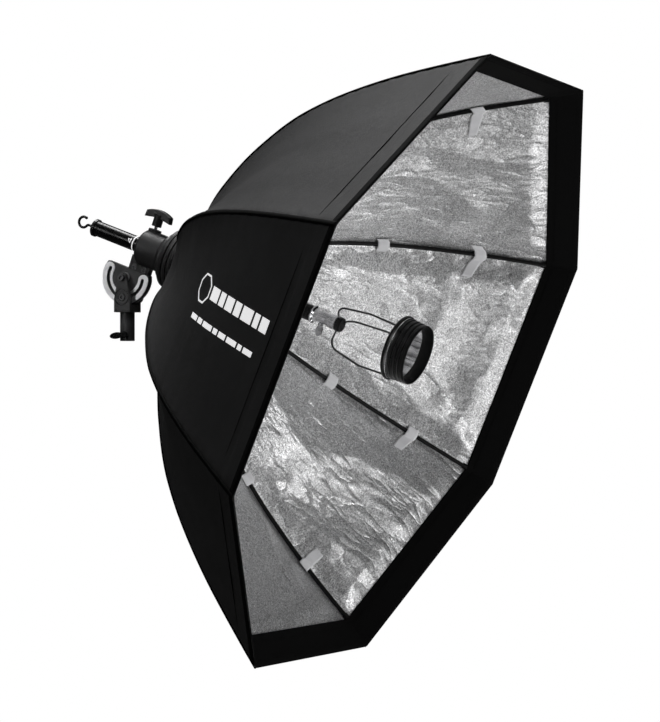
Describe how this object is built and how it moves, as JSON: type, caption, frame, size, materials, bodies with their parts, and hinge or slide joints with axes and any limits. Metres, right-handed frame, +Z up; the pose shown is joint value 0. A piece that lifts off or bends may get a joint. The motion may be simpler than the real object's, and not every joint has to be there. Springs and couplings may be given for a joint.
{
  "type": "octabox",
  "caption": "Indirect octagonal softbox on a tilting stand bracket, with a sliding zoom rod that carries a clamping lamp collar inside it.",
  "frame": {"origin": "middle of the stand socket's mouth, on the socket's axis, at its lower end", "axes": "+Z up along the stand socket, the open front faces -Y and a little down, the tilt axis is along X"},
  "size_m": [1.1484, 0.9402, 1.0633],
  "materials": {
    "powder_coat": "satin",
    "housing_paint": "satin",
    "bright_steel": "polished",
    "black_steel": "satin",
    "bright_aluminium": "satin",
    "black_aluminium": "satin",
    "black_rod": "gloss",
    "black_plastic": "matte",
    "nylon": "matte",
    "brass": "satin",
    "black_rubber": "matte",
    "spring_wire": "gloss",
    "cover_fabric": "matte",
    "binding": "matte",
    "silver_fabric": "satin",
    "loop_tape": "matte",
    "fibre_rod": "satin"
  },
  "bodies": {
    "bracket": {"stand_tube": "powder_coat", "yoke": "powder_coat", "tube_pin": "black_steel", "pivot_bolt": "black_steel", "pivot_nut": "black_steel", "friction_washers": "nylon", "lock_bolt": "black_steel"},
    "stand_screw": {"stand_screw": "black_steel"},
    "tilt_lock": {"lock_lever_hub": "bright_steel", "lock_lever": "black_plastic"},
    "tilt_head": {"tilt_plate": "powder_coat", "arc_tracks": "bright_aluminium", "clamp_housing": "housing_paint", "foot_screws": "black_steel", "clamp_liner": "black_plastic", "clamp_pad": "brass", "rubber_collar": "black_rubber", "bearing_sleeve": "black_aluminium", "retaining_ring": "bright_steel"},
    "rod_lock": {"knob_screw": "bright_steel", "knob_handle": "black_plastic"},
    "hook": {"rod_hook": "black_steel", "hook_nut": "black_steel"},
    "hub_lock": {"hub_screw": "bright_steel"},
    "zoom_rod": {"rod_tube": "black_rod", "rod_end_cap": "black_plastic", "end_cap_screws": "black_steel", "cage_hub": "bright_steel", "wire_nut": "black_steel", "cage_wires": "spring_wire", "rear_bumper": "black_rubber", "adapter_ring": "bright_aluminium", "lamp_collar": "black_rubber", "collar_clip": "bright_steel"},
    "softbox": {"cover_panel_1": "cover_fabric", "cover_panel_2": "cover_fabric", "cover_panel_3": "cover_fabric", "cover_panel_4": "cover_fabric", "cover_panel_5": "cover_fabric", "cover_panel_6": "cover_fabric", "cover_panel_7": "cover_fabric", "cover_panel_8": "cover_fabric", "flex_rod_1": "fibre_rod", "flex_rod_2": "fibre_rod", "flex_rod_3": "fibre_rod", "flex_rod_4": "fibre_rod", "flex_rod_5": "fibre_rod", "flex_rod_6": "fibre_rod", "flex_rod_7": "fibre_rod", "flex_rod_8": "fibre_rod", "silver_lining": "silver_fabric", "front_hem": "cover_fabric", "grip_strip": "loop_tape", "seam_piping": "binding", "rod_tips": "binding", "rod_tabs": "silver_fabric", "speed_ring": "black_aluminium", "ring_bush": "nylon", "rod_sockets": "bright_aluminium", "rear_cuff": "binding"}
  },
  "joints": [
    {"name": "head_tilt", "type": "hinge", "parent": "bracket", "child": "tilt_head", "pos_m": [0, 0, 0.1206], "axis": [1, 0, 0], "range_deg": [-110, 22]},
    {"name": "softbox_roll", "type": "hinge", "parent": "tilt_head", "child": "softbox", "pos_m": [0, -0.10634, 0.15256], "axis": [0, -0.9259, -0.3778], "continuous": true},
    {"name": "rod_slide", "type": "slide", "parent": "tilt_head", "child": "zoom_rod", "axis": [0, -0.9397, -0.342], "range_m": [-0.24, 0.1]},
    {"name": "rod_lock_turn", "type": "hinge", "parent": "tilt_head", "child": "rod_lock", "pos_m": [0, -0.04808, 0.17377], "axis": [0, -0.342, 0.9397], "range_deg": [0, 540]},
    {"name": "stand_screw_turn", "type": "hinge", "parent": "bracket", "child": "stand_screw", "pos_m": [0, 0, 0.0125], "axis": [-0.9659, -0.2588, 0], "range_deg": [0, 720]},
    {"name": "tilt_lock_turn", "type": "hinge", "parent": "bracket", "child": "tilt_lock", "pos_m": [0, 0, 0.083], "axis": [1, 0, 0], "range_deg": [0, 120]},
    {"name": "hook_swivel", "type": "hinge", "parent": "zoom_rod", "child": "hook", "pos_m": [0, 0.0722, 0.21754], "axis": [0, -0.9397, -0.342], "continuous": true},
    {"name": "hub_screw_turn", "type": "hinge", "parent": "zoom_rod", "child": "hub_lock", "pos_m": [0, -0.41362, 0.04072], "axis": [0, 0.342, -0.9397], "range_deg": [0, 540]}
  ]
}
